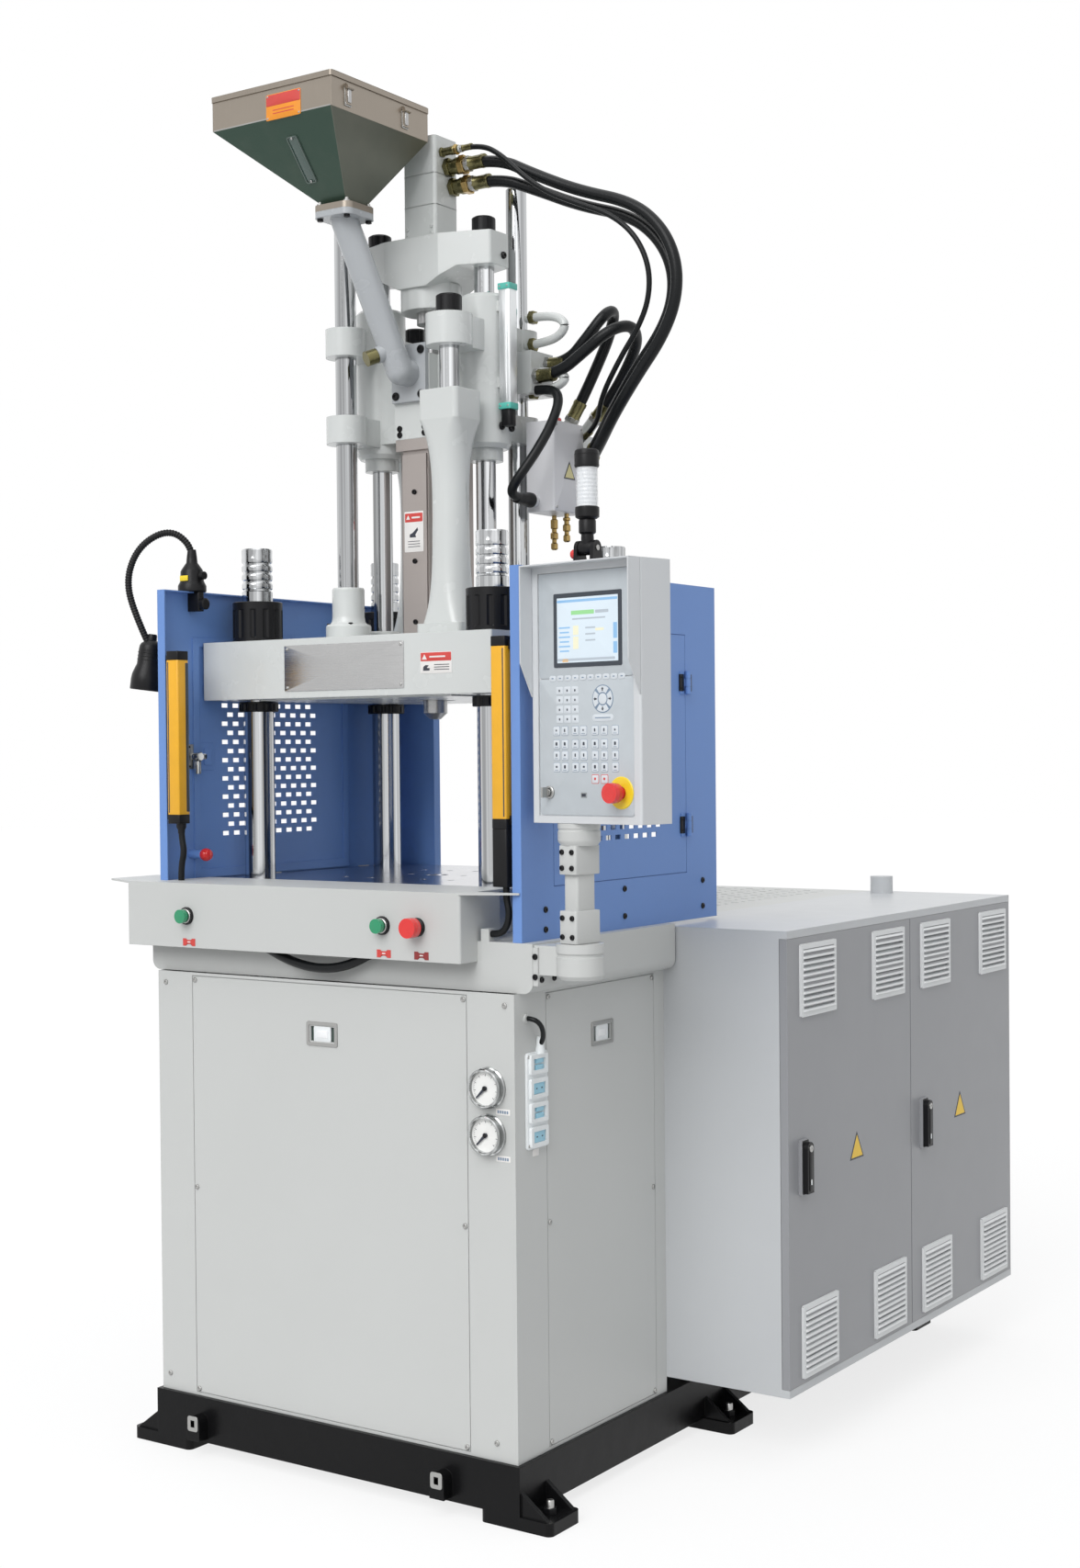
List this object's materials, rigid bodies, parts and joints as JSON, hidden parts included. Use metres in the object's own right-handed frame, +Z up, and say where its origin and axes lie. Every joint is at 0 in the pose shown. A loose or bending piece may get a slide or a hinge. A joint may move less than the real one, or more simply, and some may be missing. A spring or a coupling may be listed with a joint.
{
  "type": "vertical injection moulding machine",
  "caption": "Vertical injection moulding machine with a tie-bar clamp, an injection unit with hopper on top, guards, an operator panel and an electrical cabinet.",
  "frame": {"origin": "on the floor, at the centre of the four corner anchor holes", "axes": "+X to the right seen from the front, +Y to the back, +Z up"},
  "size_m": [1.4443, 1.9, 2.988],
  "materials": {
    "paint_grey": "satin paint",
    "paint_cast": "gloss paint on castings",
    "paint_blue": "fine textured paint",
    "paint_black": "gloss paint",
    "ground_steel": "ground",
    "bright_rod": "polished hard chrome",
    "black_steel": "black oxide",
    "stainless": "brushed stainless",
    "zinc": "zinc plated",
    "hose_rubber": "matt rubber",
    "black_plastic": "matt",
    "white_plastic": "smooth",
    "panel_grey": "satin paint",
    "keypad_blue": "film",
    "screen_dark": "glossy",
    "red_plastic": "glossy",
    "green_plastic": "glossy",
    "yellow_paint": "gloss paint",
    "lens_clear": "clear lens",
    "teal_aluminium": "anodised"
  },
  "bodies": {
    "machine": {"base_frame": "paint_black", "cabinet_frame": "paint_grey", "cover_panels": "paint_grey", "bed_beam": "paint_cast", "fixed_table": "ground_steel", "apron": "paint_grey", "left_guard": "paint_blue", "right_guard": "paint_blue", "light_curtains": "yellow_paint", "electrical_cabinet": "paint_grey", "pressure_gauges": "stainless", "socket_strip": "white_plastic", "hmi_bracket": "paint_cast", "signal_lamp_base": "black_plastic", "work_lamp": "black_plastic", "clamp_cylinder": "paint_cast", "cabinet_cables": "hose_rubber"},
    "clamp": {"upper_platen": "paint_cast", "tie_bars": "bright_rod", "tie_bar_nuts": "black_steel", "lower_crosshead": "paint_cast", "guide_rods": "bright_rod", "carriage_cylinders": "paint_cast"},
    "carriage": {"injection_carriage": "paint_cast", "carriage_rods": "bright_rod", "barrel": "ground_steel", "nozzle": "ground_steel", "barrel_cover": "stainless", "feed_pipe": "paint_cast", "hopper": "stainless", "position_transducer": "teal_aluminium", "junction_box": "paint_grey", "motor_hoses": "hose_rubber", "carriage_hoses": "hose_rubber"},
    "thrust": {"thrust_beam": "paint_cast", "injection_rods": "bright_rod", "hydraulic_motor": "paint_cast"},
    "screw": {"screw": "ground_steel"},
    "lid": {"hopper_lid": "stainless"},
    "gate": {"feed_gate": "zinc"},
    "guard_door_right": {"right_guard_door": "paint_blue"},
    "guard_door_left": {"left_guard_door": "paint_blue"},
    "cabinet_door_front": {"electrical_door_front": "paint_grey"},
    "cabinet_door_rear": {"electrical_door_rear": "paint_grey"},
    "handle_front": {"door_handle_front": "black_plastic"},
    "handle_rear": {"door_handle_rear": "black_plastic"},
    "needle_upper": {"gauge_needle_upper": "black_plastic"},
    "needle_lower": {"gauge_needle_lower": "black_plastic"},
    "button_left": {"start_button_left": "green_plastic"},
    "button_right": {"start_button_right": "green_plastic"},
    "stop_button": {"apron_stop_button": "red_plastic"},
    "ejector": {"ejector_rod": "bright_rod"},
    "arm": {"hmi_arm": "paint_cast"},
    "panel": {"hmi_housing": "panel_grey", "hmi_screen": "screen_dark", "hmi_keypad": "keypad_blue"},
    "panel_stop": {"hmi_stop_button": "red_plastic"},
    "panel_key": {"hmi_key_switch": "stainless"},
    "lamp": {"signal_lamp": "lens_clear"},
    "lamp_dial": {"work_lamp_dial": "black_plastic"}
  },
  "joints": [
    {"name": "clamp_slide", "type": "slide", "parent": "machine", "child": "clamp", "axis": [0, 0, 1], "range_m": [-0.22, 0]},
    {"name": "carriage_slide", "type": "slide", "parent": "clamp", "child": "carriage", "axis": [0, 0, 1], "range_m": [0, 0.12]},
    {"name": "injection_slide", "type": "slide", "parent": "carriage", "child": "thrust", "axis": [0, 0, 1], "range_m": [-0.05, 0.15], "deforming": ["motor_hoses"]},
    {"name": "screw_spin", "type": "hinge", "parent": "thrust", "child": "screw", "pos_m": [-0.077, -0.41, 2.5], "axis": [0, 0, 1], "continuous": true},
    {"name": "lid_hinge", "type": "hinge", "parent": "carriage", "child": "lid", "pos_m": [-0.387, -0.64, 2.976], "axis": [0, -1, 0], "range_deg": [0, 110]},
    {"name": "gate_slide", "type": "slide", "parent": "carriage", "child": "gate", "axis": [-0.472, -0.8024, -0.3653], "range_m": [0, 0.02]},
    {"name": "guard_hinge_right", "type": "hinge", "parent": "machine", "child": "guard_door_right", "pos_m": [0.4975, -0.242, 1.262], "axis": [0, 0, 1], "range_deg": [0, 100]},
    {"name": "guard_hinge_left", "type": "hinge", "parent": "machine", "child": "guard_door_left", "pos_m": [-0.4975, -0.242, 1.262], "axis": [0, 0, -1], "range_deg": [0, 100]},
    {"name": "cabinet_hinge_front", "type": "hinge", "parent": "machine", "child": "cabinet_door_front", "pos_m": [0.7808, 0.2903, 0.6], "axis": [0, 0, 1], "range_deg": [0, 110]},
    {"name": "cabinet_hinge_rear", "type": "hinge", "parent": "machine", "child": "cabinet_door_rear", "pos_m": [0.7808, 0.9128, 0.6], "axis": [0, 0, 1], "range_deg": [0, 110]},
    {"name": "handle_turn_front", "type": "hinge", "parent": "cabinet_door_front", "child": "handle_front", "pos_m": [0.792, -0.267, 0.68], "axis": [1, 0, 0], "range_deg": [0, 90]},
    {"name": "handle_turn_rear", "type": "hinge", "parent": "cabinet_door_rear", "child": "handle_rear", "pos_m": [0.792, 0.3615, 0.68], "axis": [1, 0, 0], "range_deg": [0, 90]},
    {"name": "needle_turn_upper", "type": "hinge", "parent": "machine", "child": "needle_upper", "pos_m": [0.4184, -0.922, 0.867], "axis": [0, 1, 0], "range_deg": [0, 270]},
    {"name": "needle_turn_lower", "type": "hinge", "parent": "machine", "child": "needle_lower", "pos_m": [0.4184, -0.922, 0.774], "axis": [0, 1, 0], "range_deg": [0, 270]},
    {"name": "press_left", "type": "slide", "parent": "machine", "child": "button_left", "axis": [0, 1, 0], "range_m": [0, 0.004], "stiffness_N_per_m": 900},
    {"name": "press_right", "type": "slide", "parent": "machine", "child": "button_right", "axis": [0, 1, 0], "range_m": [0, 0.004], "stiffness_N_per_m": 900},
    {"name": "press_stop", "type": "slide", "parent": "machine", "child": "stop_button", "axis": [0, 1, 0], "range_m": [0, 0.004], "stiffness_N_per_m": 1500},
    {"name": "ejector_slide", "type": "slide", "parent": "machine", "child": "ejector", "axis": [0, 0, 1], "range_m": [0, 0.06]},
    {"name": "arm_swivel", "type": "hinge", "parent": "machine", "child": "arm", "pos_m": [0.606, -0.858, 1.14], "axis": [0, 0, 1], "range_deg": [-15, 60]},
    {"name": "panel_swivel", "type": "hinge", "parent": "arm", "child": "panel", "pos_m": [0.606, -0.858, 1.39], "axis": [0, 0, 1], "range_deg": [-15, 60]},
    {"name": "press_panel_stop", "type": "slide", "parent": "panel", "child": "panel_stop", "axis": [0.1736, 0.9848, 0], "range_m": [0, 0.004], "stiffness_N_per_m": 1500},
    {"name": "key_turn", "type": "hinge", "parent": "panel", "child": "panel_key", "pos_m": [0.55705, -0.88796, 1.453], "axis": [0.1736, 0.9848, 0], "range_deg": [0, 90]},
    {"name": "lamp_fold", "type": "hinge", "parent": "machine", "child": "lamp", "pos_m": [0.484, -0.629, 1.952], "axis": [-1, 0, 0], "range_deg": [0, 90]},
    {"name": "dial_turn", "type": "hinge", "parent": "machine", "child": "lamp_dial", "pos_m": [-0.448, -0.785, 1.936], "axis": [1, 0, 0], "range_deg": [0, 270]}
  ]
}
